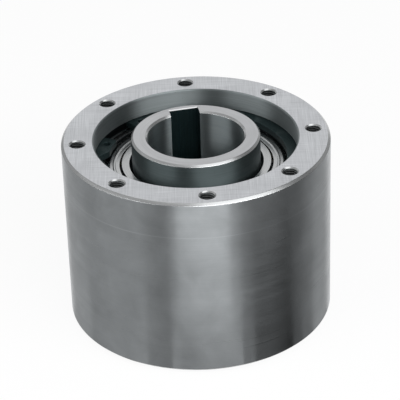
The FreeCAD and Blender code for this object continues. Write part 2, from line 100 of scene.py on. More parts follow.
def settle(piece):
    """Bring a piece's place, turn and scale into its mesh."""
    pick_up(piece)
    bpy.ops.object.transform_apply(location=True, rotation=True, scale=True)


def choose(piece, test, kind="VERT"):
    """Open a piece for editing with only the chosen points or faces selected.

    The test gets a point's place, or a face's centre and normal, in millimetres.
    """
    pick_up(piece)
    bpy.ops.object.mode_set(mode="EDIT")
    bpy.ops.mesh.select_mode(type=kind)
    bpy.ops.mesh.select_all(action="DESELECT")
    bpy.ops.object.mode_set(mode="OBJECT")
    mesh = piece.data
    if kind == "FACE":
        for face in mesh.polygons:
            face.select = test(face.center / MM, face.normal)
    else:
        for point in mesh.vertices:
            point.select = test(point.co / MM)
    bpy.ops.object.mode_set(mode="EDIT")


def apply_modifier(piece, kind, **settings):
    pick_up(piece)
    modifier = piece.modifiers.new(kind.lower(), kind)
    for name, setting in settings.items():
        setattr(modifier, name, setting)
    bpy.ops.object.modifier_apply(modifier=modifier.name)


def break_edges(piece, width, segments=2, angle=25):
    """Round every edge that is sharper than the angle."""
    apply_modifier(piece, "BEVEL", width=width * MM, segments=segments, limit_method="ANGLE",
                   angle_limit=math.radians(angle), use_clamp_overlap=True)


def cut(piece, tool):
    """Cut a tool's shape out of a piece and throw the tool away."""
    apply_modifier(piece, "BOOLEAN", operation="DIFFERENCE", solver="EXACT", object=tool)
    bpy.data.objects.remove(tool, do_unlink=True)


def smooth(piece, angle=28):
    """Shade curved faces smooth while flat ones stay flat."""
    pick_up(piece)
    bpy.ops.object.shade_smooth_by_angle(angle=math.radians(angle))
    apply_modifier(piece, "WEIGHTED_NORMAL", keep_sharp=True, weight=50)


def copied(piece, name, turn=0.0, over=False):
    """A copy of a piece, turned round the axis, or first turned over to the other end."""
    pick_up(piece)
    bpy.ops.object.duplicate()
    twin = bpy.context.object
    twin.name = twin.data.name = name
    if over:
        twin.rotation_euler = (math.pi, 0, math.radians(turn))
        twin.location = (0, 0, 2 * MIDDLE * MM)
    else:
        twin.rotation_euler = (0, 0, math.radians(turn))
    settle(twin)
    return twin


def joined(pieces, name):
    put_down()
    for piece in pieces:
        piece.select_set(True)
    bpy.context.view_layer.objects.active = pieces[0]
    bpy.ops.object.join()
    pieces[0].name = pieces[0].data.name = name
    return pieces[0]


def mirrored(section, middle=MIDDLE):
    """The other half of a section whose corners are radius and height, to go on from it."""
    return [(radius, 2 * middle - height) for radius, height in reversed(section)]


def draw_through(section):
    """Extrude a selected circle from the first corner of a section through the others."""
    radius, height = section[0]
    for next_radius, next_height in section[1:]:
        lift = (0, 0, (next_height - height) * MM)
        bpy.ops.mesh.extrude_region_move(TRANSFORM_OT_translate={"value": lift})
        wider = next_radius / radius
        bpy.ops.transform.resize(value=(wider, wider, 1))
        radius, height = next_radius, next_height


def turned(name, section):
    """A ring turned from its closed section."""
    put_down()
    radius, height = section[0]
    bpy.ops.mesh.primitive_circle_add(vertices=256, radius=radius * MM,
                                      location=(0, 0, height * MM))
    piece = bpy.context.object
    piece.name = piece.data.name = name
    settle(piece)
    bpy.ops.object.mode_set(mode="EDIT")
    bpy.ops.mesh.select_all(action="SELECT")
    draw_through(section + section[:1])
    bpy.ops.mesh.select_all(action="SELECT")
    bpy.ops.mesh.remove_doubles(threshold=0.01 * MM)
    bpy.ops.mesh.normals_make_consistent(inside=False)
    put_down()
    return piece


def paint(piece, material, test=None):
    """Give a material to a whole piece, or to the faces that a test chooses.

    The test gets a face's distance from the axis, its distance from the clutch's middle
    plane, both in millimetres, and its normal.
    """
    piece.data.materials.append(material)
    index = len(piece.data.materials) - 1
    for face in piece.data.polygons:
        spot = face.center / MM
        if test is None or test(spot.xy.length, abs(spot.z - MIDDLE), face.normal):
            face.material_index = index


def fit_piece(piece, body, slot, *nodes):
    """Fasten a finished piece to its body and let it stand for its CAD nodes."""
    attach(piece, body)
    if nodes:
        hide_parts(*nodes)


# Shared effects

def new_effect(name, inputs, outputs):
    """An empty node group with named inputs and outputs."""
    effect = bpy.data.node_groups.new(name, "ShaderNodeTree")
    for label, kind, start in inputs:
        socket = effect.interface.new_socket(name=label, in_out="INPUT", socket_type=kind)
        if start is not None:
            socket.default_value = start
    for label, kind in outputs:
        effect.interface.new_socket(name=label, in_out="OUTPUT", socket_type=kind)
    return effect, effect.nodes.new("NodeGroupInput"), effect.nodes.new("NodeGroupOutput")


def add_node(tree, kind, links=None, **settings):
    """Add a node, set its settings, and fill its inputs with values or links."""
    node = tree.nodes.new("ShaderNode" + kind)
    for name, setting in settings.items():
        setattr(node, name, setting)
    for socket, source in (links or {}).items():
        if isinstance(source, bpy.types.NodeSocket):
            tree.links.new(source, node.inputs[socket])
        else:
            node.inputs[socket].default_value = source
    return node


def math_node(tree, operation, first, second=0.0):
    return add_node(tree, "Math", {0: first, 1: second}, operation=operation).outputs[0]


def make_turning_marks():
    """Fine rings left by a lathe: across the height of a wall, or the radius of a face."""
    effect, given, out = new_effect(
        "Turning marks",
        [("Vector", "NodeSocketVector", None), ("Face", "NodeSocketFloat", 0.0),
         ("Lines per mm", "NodeSocketFloat", 4.0), ("Drift", "NodeSocketFloat", 1.0)],
        [("Lines", "NodeSocketFloat"), ("Bands", "NodeSocketFloat")])
    split = add_node(effect, "SeparateXYZ", {0: given.outputs["Vector"]})
    x, y, z = split.outputs
    squares = math_node(effect, "ADD", math_node(effect, "MULTIPLY", x, x),
                        math_node(effect, "MULTIPLY", y, y))
    radius = math_node(effect, "SQRT", squares)
    place = add_node(effect, "Mix", {0: given.outputs["Face"], 2: z, 3: radius})
    place = math_node(effect, "DIVIDE", place.outputs[0], MM)
    along_x = math_node(effect, "DIVIDE", x, radius)
    along_y = math_node(effect, "DIVIDE", y, radius)
    for label, density, drift, detail in (("Lines", 1.0, 1.0, 3.0), ("Bands", 0.09, 0.6, 2.0)):
        across = math_node(effect, "MULTIPLY", place, given.outputs["Lines per mm"])
        across = math_node(effect, "MULTIPLY", across, density)
        sweep = math_node(effect, "MULTIPLY", given.outputs["Drift"], drift)
        spot = add_node(effect, "CombineXYZ", {
            0: math_node(effect, "MULTIPLY", along_x, sweep),
            1: math_node(effect, "MULTIPLY", along_y, sweep), 2: across})
        noise = add_node(effect, "TexNoise", {"Vector": spot.outputs[0], "Scale": 1.0,
                                              "Detail": detail, "Roughness": 0.6})
        effect.links.new(noise.outputs["Fac"], out.inputs[label])
    return effect


def make_ground_lines():
    """Straight scratches of a grinding wheel, in one direction of the plane."""
    effect, given, out = new_effect(
        "Grinding lines",
        [("Vector", "NodeSocketVector", None), ("Direction", "NodeSocketFloat", 0.0),
         ("Lines per mm", "NodeSocketFloat", 3.0), ("Length", "NodeSocketFloat", 12.0)],
        [("Lines", "NodeSocketFloat")])
    turn = add_node(effect, "VectorRotate", {"Vector": given.outputs["Vector"],
                                             "Angle": given.outputs["Direction"]},
                    rotation_type="Z_AXIS")
    split = add_node(effect, "SeparateXYZ", {0: turn.outputs[0]})
    along = math_node(effect, "DIVIDE", split.outputs[0], MM)
    along = math_node(effect, "DIVIDE", along, given.outputs["Length"])
    across = math_node(effect, "DIVIDE", split.outputs[1], MM)
    across = math_node(effect, "MULTIPLY", across, given.outputs["Lines per mm"])
    spot = add_node(effect, "CombineXYZ", {0: along, 1: across, 2: 0.0})
    noise = add_node(effect, "TexNoise", {"Vector": spot.outputs[0], "Scale": 1.0,
                                          "Detail": 3.0, "Roughness": 0.65})
    effect.links.new(noise.outputs["Fac"], out.inputs["Lines"])
    return effect


def make_handling():
    """Faint cloudy stains and a few small pits from handling and storage."""
    effect, given, out = new_effect(
        "Handling",
        [("Vector", "NodeSocketVector", None), ("Size", "NodeSocketFloat", 18.0)],
        [("Clouds", "NodeSocketFloat"), ("Pits", "NodeSocketFloat")])
    scale = math_node(effect, "DIVIDE", 1.0 / MM, given.outputs["Size"])
    cloud = add_node(effect, "TexNoise", {"Vector": given.outputs["Vector"], "Scale": scale,
                                          "Detail": 4.0, "Roughness": 0.55, "Distortion": 0.4})
    effect.links.new(cloud.outputs["Fac"], out.inputs["Clouds"])
    cells = add_node(effect, "TexVoronoi", {"Vector": given.outputs["Vector"], "Scale": 260.0})
    small = add_node(effect, "MapRange", {"Value": cells.outputs["Distance"], "From Min": 0.03,
                                          "From Max": 0.10, "To Min": 1.0, "To Max": 0.0})
    rare = add_node(effect, "TexNoise", {"Vector": given.outputs["Vector"], "Scale": 70.0})
    rare = math_node(effect, "GREATER_THAN", rare.outputs["Fac"], 0.66)
    pits = math_node(effect, "MULTIPLY", small.outputs[0], rare)
    effect.links.new(pits, out.inputs["Pits"])
    return effect


turning_marks = make_turning_marks()
grinding_lines = make_ground_lines()
handling = make_handling()


# Finishes

def place_effect(tree, effect, **inputs):
    node = tree.nodes.new("ShaderNodeGroup")
    node.node_tree = effect
    for label, source in inputs.items():
        socket = node.inputs[label.replace("_", " ")]
        if isinstance(source, bpy.types.NodeSocket):
            tree.links.new(source, socket)
        else:
            socket.default_value = source
    return node


def new_finish(name):
    finish = bpy.data.materials.new(name)
    finish.use_nodes = True
    tree = finish.node_tree
    shader = tree.nodes["Principled BSDF"]
    spot = tree.nodes.new("ShaderNodeTexCoord").outputs["Object"]
    return finish, tree, shader, spot


def colour_between(tree, mask, dark, light, low=0.3, high=0.7):
    """Blend two colours by a mask, between its low and high values."""
    spread = add_node(tree, "MapRange", {"Value": mask, "From Min": low, "From Max": high})
    blend = add_node(tree, "Mix", data_type="RGBA")
    tree.links.new(spread.outputs[0], blend.inputs[0])
    for socket, shade in ((6, dark), (7, light)):
        if isinstance(shade, bpy.types.NodeSocket):
            tree.links.new(shade, blend.inputs[socket])
        else:
            blend.inputs[socket].default_value = (*shade, 1)
    return blend.outputs[2]


def scribed_line(tree, spot, height):
    """A mask for one fine line round a wall at a height."""
    split = add_node(tree, "SeparateXYZ", {0: spot})
    away = math_node(tree, "SUBTRACT", split.outputs["Z"], height * MM)
    away = math_node(tree, "ABSOLUTE", away)
    near = add_node(tree, "MapRange", {"Value": away, "From Min": 0.1 * MM, "From Max": 0.35 * MM,
                                       "To Min": 1.0, "To Max": 0.0})
    return near.outputs[0]


def steel_finish(name, dark, light, rough, marks, density, drift=1.0, relief=0.25, stretch=0.0,
                 stain=0.12, cloud_size=18.0, scribe=None):
    """Bare steel: shade and gloss follow its machining marks, clouds and pits.

    marks is "wall" for a turned wall, "face" for a turned face, "ground" for a cross-ground
    face, or "drawn" for straight lines along the axis. stretch spreads highlights across
    the turning lines. scribe is the height of a fine bright line round the wall.
    """
    finish, tree, shader, spot = new_finish(name)
    if marks in ("wall", "face"):
        lines = place_effect(tree, turning_marks, Vector=spot, Face=float(marks == "face"),
                             Lines_per_mm=density, Drift=drift)
        mask = math_node(tree, "ADD", math_node(tree, "MULTIPLY", lines.outputs["Lines"], 0.6),
                         math_node(tree, "MULTIPLY", lines.outputs["Bands"], 0.4))
    elif marks == "ground":
        one = place_effect(tree, grinding_lines, Vector=spot, Direction=math.radians(4.4),
                           Lines_per_mm=density, Length=drift)
        two = place_effect(tree, grinding_lines, Vector=spot, Direction=math.radians(94.4),
                           Lines_per_mm=density, Length=drift)
        mask = math_node(tree, "MULTIPLY",
                         math_node(tree, "ADD", one.outputs[0], two.outputs[0]), 0.5)
    else:
        upright = add_node(tree, "Mapping", {"Vector": spot, "Scale": (1, 1, 0.02)})
        lines = add_node(tree, "TexNoise", {"Vector": upright.outputs[0],
                                            "Scale": density / MM, "Detail": 3.0})
        mask = lines.outputs["Fac"]
    wear = place_effect(tree, handling, Vector=spot, Size=cloud_size)
    colour = colour_between(tree, mask, dark, light)
    stained = tuple(shade * (1 - 2 * stain) for shade in dark)
    cloud_mask = math_node(tree, "MULTIPLY", wear.outputs["Clouds"], stain * 4)
    colour = colour_between(tree, cloud_mask, colour, stained, 0.12, 0.9)
    colour = colour_between(tree, wear.outputs["Pits"], colour, stained, 0.0, 1.6)
    if scribe is not None:
        rubbed = tuple(shade * 1.06 for shade in light)
        line = math_node(tree, "MULTIPLY", scribed_line(tree, spot, scribe),
                         wear.outputs["Clouds"])
        colour = colour_between(tree, line, colour, rubbed, 0.1, 1.1)
    tree.links.new(colour, shader.inputs["Base Color"])
    gloss = add_node(tree, "MapRange", {"Value": mask, "From Min": 0.3, "From Max": 0.7,
                                        "To Min": rough * 1.12, "To Max": rough * 0.88})
    tree.links.new(gloss.outputs[0], shader.inputs["Roughness"])
    relief_node = add_node(tree, "Bump", {"Height": mask, "Strength": relief,
                                          "Distance": 0.00004})
    tree.links.new(relief_node.outputs[0], shader.inputs["Normal"])
    shader.inputs["Metallic"].default_value = 1.0
    if stretch:
        shader.inputs["Anisotropic"].default_value = stretch
        shader.inputs["Anisotropic Rotation"].default_value = 0.25
        along = add_node(tree, "Tangent", direction_type="RADIAL", axis="Z")
        tree.links.new(along.outputs[0], shader.inputs["Tangent"])
    return finish


turned_side = steel_finish("turned_side", (0.475, 0.502, 0.517), (0.56, 0.587, 0.604), 0.30,
                           "wall", 3.5, drift=0.8, relief=0.25, stretch=0.85, stain=0.2,
                           cloud_size=15.0, scribe=72.4)
ground_end = steel_finish("ground_end", (0.365, 0.376, 0.392), (0.685, 0.70, 0.725), 0.36,
                          "ground", 1.9, drift=26.0, relief=0.35)
bright_chamfer = steel_finish("bright_chamfer", (0.42, 0.43, 0.435), (0.52, 0.53, 0.535), 0.26,
                              "wall", 5.0, relief=0.15)
# Turned steel of the recess walls, its base colour darkened as painted shade inside the recess.
recess_wall_painted_shade = steel_finish("recess_wall_painted_shade", (0.205, 0.23, 0.235), (0.285, 0.315, 0.32), 0.48,
                           "wall", 3.0, relief=0.25, stretch=0.96)
# Thread flanks: steel with its base colour lowered, painted shade that dims their glint inside the
# holes.
thread_flank_painted_shade = steel_finish("thread_flank_painted_shade", (0.24, 0.255, 0.26), (0.34, 0.36, 0.365), 0.32,
                            "wall", 4.0, relief=0.2)
# Drilled steel of the hole walls, near black: painted shade deep in the tapped holes.
hole_wall_painted_shade = steel_finish("hole_wall_painted_shade", (0.04, 0.045, 0.045), (0.08, 0.085, 0.085), 0.42,
                            "wall", 4.0, relief=0.2)
broken_edge = steel_finish("broken_edge", (0.45, 0.458, 0.462), (0.56, 0.568, 0.572), 0.34,
                           "wall", 5.0, relief=0.15)
hub_end = steel_finish("hub_end", (0.39, 0.397, 0.407), (0.51, 0.518, 0.53), 0.32,
                       "face", 3.0, relief=0.3)
# Turned steel of the hub's wall inside the recess, its base colour darkened as painted shade.
hub_wall_painted_shade = steel_finish("hub_wall_painted_shade", (0.165, 0.208, 0.213), (0.255, 0.308, 0.315), 0.36,
                        "wall", 3.2, relief=0.35, stretch=0.88)
# Honed steel of the bore, its base colour darkened as painted shade inside the bore.
honed_bore_painted_shade = steel_finish("honed_bore_painted_shade", (0.24, 0.272, 0.28), (0.325, 0.36, 0.368), 0.38,
                          "wall", 4.0, relief=0.15, stretch=0.97)
# Broached steel of the keyway, near black: painted shade inside the slot.
keyway_painted_shade = steel_finish("keyway_painted_shade", (0.04, 0.08, 0.087), (0.09, 0.15, 0.156), 0.35,
                               "drawn", 0.6, relief=0.3)
bearing_steel = steel_finish("bearing_steel", (0.42, 0.43, 0.435), (0.53, 0.54, 0.545), 0.24,
                             "face", 4.0, relief=0.2)
# Unground steel, darkened to near black as painted shade of the gaps between rings, shields, clip and
# groove.
unground_steel_and_gap_shade = steel_finish("unground_steel_and_gap_shade", (0.010, 0.014, 0.015), (0.026, 0.032, 0.034), 0.5,
                              "wall", 4.0, relief=0.2)
shield_metal = steel_finish("shield_metal", (0.42, 0.43, 0.435), (0.52, 0.53, 0.535), 0.22,
                            "face", 2.0, relief=0.15)
cam_metal = steel_finish("cam_metal", (0.45, 0.455, 0.46), (0.56, 0.565, 0.57), 0.22,
                         "drawn", 0.8, relief=0.2)
cage_metal = steel_finish("cage_metal", (0.30, 0.31, 0.32), (0.42, 0.43, 0.44), 0.36,
                          "wall", 2.5, relief=0.3)
ball_metal = steel_finish("ball_metal", (0.68, 0.685, 0.69), (0.75, 0.755, 0.76), 0.08,
                          "drawn", 0.4, relief=0.03, stain=0.05)
spring_metal = steel_finish("spring_metal", (0.36, 0.345, 0.32), (0.48, 0.46, 0.42), 0.30,
                            "wall", 3.0, relief=0.2)


def make_phosphated():
    """Dark grey phosphate coat of a retaining ring, rubbed at raised spots."""
    finish, tree, shader, spot = new_finish("phosphated_steel")
    grain = add_node(tree, "TexNoise", {"Vector": spot, "Scale": 1400.0, "Detail": 5.0})
    wear = place_effect(tree, handling, Vector=spot, Size=9.0)
    colour = colour_between(tree, grain.outputs["Fac"], (0.008, 0.019, 0.020),
                            (0.030, 0.052, 0.054))
    colour = colour_between(tree, wear.outputs["Clouds"], colour, (0.08, 0.105, 0.107), 0.55, 0.85)
    tree.links.new(colour, shader.inputs["Base Color"])
    gloss = add_node(tree, "MapRange", {"Value": wear.outputs["Clouds"], "To Min": 0.55,
                                        "To Max": 0.36})
    tree.links.new(gloss.outputs[0], shader.inputs["Roughness"])
    shader.inputs["Metallic"].default_value = 0.7
    relief = add_node(tree, "Bump", {"Height": grain.outputs["Fac"], "Strength": 0.3,
                                     "Distance": 0.00003})
    tree.links.new(relief.outputs[0], shader.inputs["Normal"])
    return finish


def make_cage_polymer():
    """Natural moulded polyamide, slightly translucent, with a faint mould texture."""
    finish, tree, shader, spot = new_finish("cage_polymer")
    grain = add_node(tree, "TexNoise", {"Vector": spot, "Scale": 900.0, "Detail": 3.0})
    wear = place_effect(tree, handling, Vector=spot, Size=12.0)
    colour = colour_between(tree, wear.outputs["Clouds"], (0.66, 0.61, 0.49), (0.76, 0.71, 0.60))
    tree.links.new(colour, shader.inputs["Base Color"])
    gloss = add_node(tree, "MapRange", {"Value": grain.outputs["Fac"], "To Min": 0.38,
                                        "To Max": 0.55})
    tree.links.new(gloss.outputs[0], shader.inputs["Roughness"])
    shader.inputs["Subsurface Weight"].default_value = 0.15
    relief = add_node(tree, "Bump", {"Height": grain.outputs["Fac"], "Strength": 0.2,
                                     "Distance": 0.00003})
    tree.links.new(relief.outputs[0], shader.inputs["Normal"])
    return finish


phosphated_steel = make_phosphated()
cage_polymer = make_cage_polymer()


# Outer race with its tapped holes

MOUTH_RADIUS = 5.2       # of the cutter and the countersink, clear of the race's end
LIP_RADIUS = 3.45        # crest of the thread's first turn, which catches the light
LIP_DEPTH = 0.55


def make_hole_cutter():
    """A hole drilled through on +X and tapped from both ends."""
    upper = [(DRILL_RADIUS, THREAD_BOTTOM), (THREAD_RADIUS, THREAD_BOTTOM),
             (THREAD_RADIUS, RACE_TOP - 2 * LIP_DEPTH), (LIP_RADIUS, RACE_TOP - LIP_DEPTH),
             (THREAD_RADIUS, RACE_TOP), (MOUTH_RADIUS, RACE_TOP + 1.0)]
    put_down()
    bpy.ops.mesh.primitive_circle_add(vertices=48, radius=MOUTH_RADIUS * MM, fill_type="NGON",
                                      location=(HOLE_CIRCLE * MM, 0, 0))
    cutter = bpy.context.object
    settle(cutter)
    bpy.ops.object.mode_set(mode="EDIT")
    bpy.ops.mesh.select_all(action="SELECT")
    draw_through(mirrored(upper) + upper)
    bpy.ops.mesh.select_all(action="SELECT")
    bpy.ops.mesh.normals_make_consistent(inside=False)
    put_down()
    return cutter


def make_thread_coil():
    """The ridge of one internal thread at the upper end, on +X, trimmed by the countersink."""
    root_height, crest_height, ridge_depth = 1.06, 0.30, 0.68
    ridge_middle, lowest = 3.69, THREAD_BOTTOM + 0.6
    put_down()
    bpy.ops.mesh.primitive_plane_add(size=MM, rotation=(math.pi / 2, 0, 0))
    coil = bpy.context.object
    coil.name = coil.data.name = "thread"
    settle(coil)
    for side, height in ((1, root_height), (-1, crest_height)):
        choose(coil, lambda spot: spot.x * side > 0)
        bpy.ops.transform.resize(value=(1, 1, height))
    bpy.ops.mesh.select_all(action="SELECT")
    bpy.ops.transform.resize(value=(ridge_depth, 1, 1))
    bpy.ops.transform.translate(value=(ridge_middle * MM, 0, lowest * MM))
    bpy.ops.mesh.delete(type="ONLY_FACE")
    put_down()
    apply_modifier(coil, "SCREW", axis="Z", angle=2 * math.pi, screw_offset=THREAD_PITCH * MM,
                   iterations=11, steps=32, render_steps=32, use_merge_vertices=True,
                   merge_threshold=0.001 * MM)
    pick_up(coil)
    bpy.ops.object.mode_set(mode="EDIT")
    bpy.ops.mesh.select_mode(type="EDGE")
    bpy.ops.mesh.select_all(action="DESELECT")
    bpy.ops.mesh.select_non_manifold()
    bpy.ops.mesh.fill_holes(sides=4)
    bpy.ops.mesh.select_all(action="SELECT")
    bpy.ops.mesh.normals_make_consistent(inside=False)
    put_down()
    coil.location = (HOLE_CIRCLE * MM, 0, 0)
    settle(coil)
    put_down()
    bpy.ops.mesh.primitive_cone_add(vertices=48, radius1=3.0 * MM, radius2=MOUTH_RADIUS * MM,
                                    depth=2.2 * MM,
                                    location=(HOLE_CIRCLE * MM, 0, (RACE_TOP + 0.05) * MM))
    countersink = bpy.context.object
    settle(countersink)
    cut(coil, countersink)
    return coil


upper_half = [
    (RACE_RADIUS, RACE_TOP - RACE_EDGE), (RACE_RADIUS - RACE_EDGE, RACE_TOP),
    (RECESS_RADIUS + RECESS_EDGE, RACE_TOP), (RECESS_RADIUS, RACE_TOP - RECESS_EDGE),
    (RECESS_RADIUS, GROOVE_TOP), (GROOVE_RADIUS, GROOVE_TOP), (GROOVE_RADIUS, BEARING_TOP),
    (RECESS_RADIUS, BEARING_TOP), (RECESS_RADIUS, TRACK_TOP), (OUTER_TRACK, TRACK_TOP)]
outer_race = turned("outer_race_steel_body", upper_half + mirrored(upper_half))
break_edges(outer_race, 0.2)
hole_cutter = make_hole_cutter()
thread_coil = make_thread_coil()
cutters = []
coils = []
for number in range(HOLES):
    turn = HOLE_PITCH * number
    cutters.append(copied(hole_cutter, f"cutter_{number + 1}", turn))
    for end, over in (("upper", False), ("lower", True)):
        coils.append(copied(thread_coil, f"{end}_thread_{number + 1}", turn, over))
for tool in (hole_cutter, thread_coil):
    bpy.data.objects.remove(tool, do_unlink=True)
cut(outer_race, joined(cutters, "hole_cutters"))
smooth(outer_race)


def at_hole(radius):
    """True for a face on the wall of a tapped hole, by its distance from the axis."""
    return abs(radius - HOLE_CIRCLE) < MOUTH_RADIUS


# Painted shade: faces inside the recess get the darkened recess steel.
paint(outer_race, recess_wall_painted_shade)
paint(outer_race, turned_side, lambda radius, off, normal: radius > RACE_RADIUS - 0.2)
paint(outer_race, bright_chamfer,
      lambda radius, off, normal: -0.2 < radius - RACE_RADIUS + RACE_EDGE < RACE_EDGE - 0.05
      and abs(normal.z) < 0.995)
paint(outer_race, ground_end,
      lambda radius, off, normal: abs(normal.z) > FLAT and off > RACE_END - 0.2)
paint(outer_race, bright_chamfer,
      lambda radius, off, normal: at_hole(radius) and off > RACE_END - 0.5
      and 0.4 < abs(normal.z) < FLAT)
# Painted shade: the hole walls between thread turns are coloured near black.
paint(outer_race, hole_wall_painted_shade,
      lambda radius, off, normal: at_hole(radius) and off < RACE_END - 0.01
      and abs(normal.z) < 0.5)
# Painted shade: thread flanks inside the holes get the dimmed steel.
paint(outer_race, thread_flank_painted_shade,
      lambda radius, off, normal: at_hole(radius) and off < RACE_END - 0.5
      and 0.5 <= abs(normal.z) < FLAT)
# Painted shade: the circlip groove and its rounded edges are coloured near black for the shadow along
# the clip.
paint(outer_race, unground_steel_and_gap_shade,
      lambda radius, off, normal: RECESS_RADIUS < radius - 0.02 < GROOVE_RADIUS + 0.1
      and BEARING_TOP - 0.2 < off + MIDDLE < GROOVE_TOP + 0.25)
fit_piece(outer_race, "housing", "outer_race_steel", "outer_race")
for coil in coils:
    smooth(coil)
    # Painted shade: the thread coils get the dimmed flank steel.
    paint(coil, thread_flank_painted_shade)
    fit_piece(coil, "housing", "outer_race_steel")


# Inner race with its keyway

def in_keyway(spot):
    """A place in millimetres, turned so that the keyway lies along +X."""
    turn = math.radians(-KEY_TURN)
    return Vector((spot.x * math.cos(turn) - spot.y * math.sin(turn),
                   spot.x * math.sin(turn) + spot.y * math.cos(turn), spot.z))


def make_key_cutter():
    """A bar as wide as the key, which flares past both ends to chamfer the keyway's floor."""
    inner_side, beyond = 10.0, 1.0
    flare = beyond + KEY_EDGE
    put_down()
    bpy.ops.mesh.primitive_plane_add(
        size=MM, location=((inner_side + KEY_FLOOR) / 2 * MM, 0, -beyond * MM))
    cutter = bpy.context.object
    cutter.scale = (KEY_FLOOR - inner_side, KEY_WIDTH, 1)
    settle(cutter)
    bpy.ops.object.mode_set(mode="EDIT")
    bpy.ops.mesh.select_all(action="SELECT")
    for step in (flare, HUB_TOP - 2 * KEY_EDGE, flare):
        bpy.ops.mesh.extrude_region_move(TRANSFORM_OT_translate={"value": (0, 0, step * MM)})
    choose(cutter, lambda spot: spot.x > inner_side + 1 and not -0.9 < spot.z < HUB_TOP + 0.9)
    bpy.ops.transform.translate(value=(flare * MM, 0, 0))
    bpy.ops.mesh.select_all(action="SELECT")
    bpy.ops.mesh.normals_make_consistent(inside=False)
    put_down()
    cutter.rotation_euler = (0, 0, math.radians(KEY_TURN))
    settle(cutter)
    return cutter


upper_half = [
    (INNER_TRACK, TRACK_TOP), (HUB_RADIUS, TRACK_TOP), (HUB_RADIUS, HUB_TOP - HUB_EDGE),
    (HUB_RADIUS - HUB_EDGE, HUB_TOP), (BORE_RADIUS + HUB_EDGE, HUB_TOP),
    (BORE_RADIUS, HUB_TOP - HUB_EDGE)]
inner_race = turned("inner_race_steel_body", upper_half + mirrored(upper_half))
break_edges(inner_race, 0.12)
cut(inner_race, make_key_cutter())
smooth(inner_race)


def is_keyway_wall(face):
    """True for a face on the floor or a side of the keyway, but not on its end chamfers."""
    spot = in_keyway(face.center / MM)
    return (spot.x > 0 and abs(spot.y) < KEY_WIDTH / 2 + 0.02
            and BORE_RADIUS + 0.1 < spot.xy.length < KEY_FLOOR + 0.6
            and abs(face.normal.z) < UPRIGHT and abs(spot.z - MIDDLE) < HUB_END - 0.5)


# Painted shade: the hub's wall inside the recess gets the darkened steel.
paint(inner_race, hub_wall_painted_shade)
paint(inner_race, hub_end,
      lambda radius, off, normal: abs(normal.z) > FLAT and off > HUB_END - 0.2)
paint(inner_race, bright_chamfer,
      lambda radius, off, normal: off > HUB_END - HUB_EDGE and 0.05 < abs(normal.z) <= FLAT)
paint(inner_race, broken_edge,
      lambda radius, off, normal: BORE_RADIUS + 0.1 < radius < KEY_FLOOR + 1.2
      and off > HUB_END - KEY_EDGE - 0.01 and 0.05 < abs(normal.z) <= FLAT)
# Painted shade: the bore wall gets the darkened honed steel.
paint(inner_race, honed_bore_painted_shade,
      lambda radius, off, normal: radius < BORE_RADIUS + 0.1 and abs(normal.z) < UPRIGHT)
# Painted shade: the keyway's floor and sides get the near-black keyway colour.
inner_race.data.materials.append(keyway_painted_shade)
for face in inner_race.data.polygons:
    if is_keyway_wall(face):
        face.material_index = len(inner_race.data.materials) - 1
fit_piece(inner_race, "hub", "inner_race_steel", "inner_race")


# Ball bearings

def raised(section, sign=1):
    """Stand a section of a bearing part at the height of the upper bearing."""
    return [(radius, BEARING_HEIGHT + sign * height) for radius, height in section]


def groove_arc(centre, start, end):
    """Corners on the round section of a ball groove, by angle in degrees."""
    steps = 8
    corners = []
    for step in range(steps + 1):
        angle = math.radians(start + (end - start) * step / steps)
        corners.append((centre + BALL_GROOVE * math.cos(angle), BALL_GROOVE * math.sin(angle)))
    return corners


half_width = BEARING_TOP - BEARING_HEIGHT
upper_half = [
    (RECESS_RADIUS, half_width - RING_EDGE), (RECESS_RADIUS - RING_EDGE, half_width),
    (OUTER_LIP, half_width), (OUTER_LIP, 7.8), (43.8, 7.8), (43.8, 7.0), (42.05, 7.0)]
outer_ring = turned("bearing_outer_ring", raised(
    upper_half + groove_arc(38.63, 53.27, -53.27) + mirrored(upper_half, 0)))
lower_half = [
    (HUB_RADIUS, RING_EDGE - half_width), (HUB_RADIUS + RING_EDGE, -half_width),
    (INNER_LIP, -half_width), (INNER_LIP, -6.7), (35.45, -6.7)]
inner_ring = turned("bearing_inner_ring", raised(
    lower_half + groove_arc(38.87, 233.27, 126.73) + mirrored(lower_half, 0)))
for ring in (outer_ring, inner_ring):
    break_edges(ring, 0.12)
    smooth(ring)
    paint(ring, bearing_steel)
# Painted shade: the inner ring's bore chamfer and the edge of its face go near black for the shadow in
# the gaps at the hub and the shield.
paint(inner_ring, unground_steel_and_gap_shade,
      lambda radius, off, normal: radius < HUB_RADIUS + RING_EDGE and abs(normal.z) < 0.95)
paint(inner_ring, unground_steel_and_gap_shade,
      lambda radius, off, normal: INNER_LIP - 0.05 < radius < INNER_LIP + 0.7
      and (normal.z < 0.95 or radius > INNER_LIP + 0.05))
# Painted shade: the outer ring's lip goes near black for the shadow in the gap beside the shield.
paint(outer_ring, unground_steel_and_gap_shade,
      lambda radius, off, normal: OUTER_LIP - 0.1 < radius < OUTER_LIP + 0.7
      and abs(normal.z) < 0.5)

SHIELD_SECTION = [
    (SHIELD_BORE, 8.4), (37.8, 8.4), (38.1, 8.7), (38.8, 8.7), (39.1, 8.4), (40.5, 8.4), (42.1, 7.7),
    (43.7, 7.7), (43.7, 7.1), (41.9, 7.1), (40.3, 7.8), (36.6, 7.8), (36.6, 7.25), (SHIELD_BORE, 7.25)]
outboard_shield = turned("shield", raised(SHIELD_SECTION))
inboard_shield = turned("shield", raised(SHIELD_SECTION, -1))
for shield in (outboard_shield, inboard_shield):
    break_edges(shield, 0.12, angle=15)
    smooth(shield, 35)
    paint(shield, shield_metal)
    # Painted shade: the shield's bore edge goes near black for the shadow in the gap at the inner
    # ring.
    paint(shield, unground_steel_and_gap_shade,
          lambda radius, off, normal: radius < SHIELD_BORE + 0.1 and abs(normal.z) < 0.5)

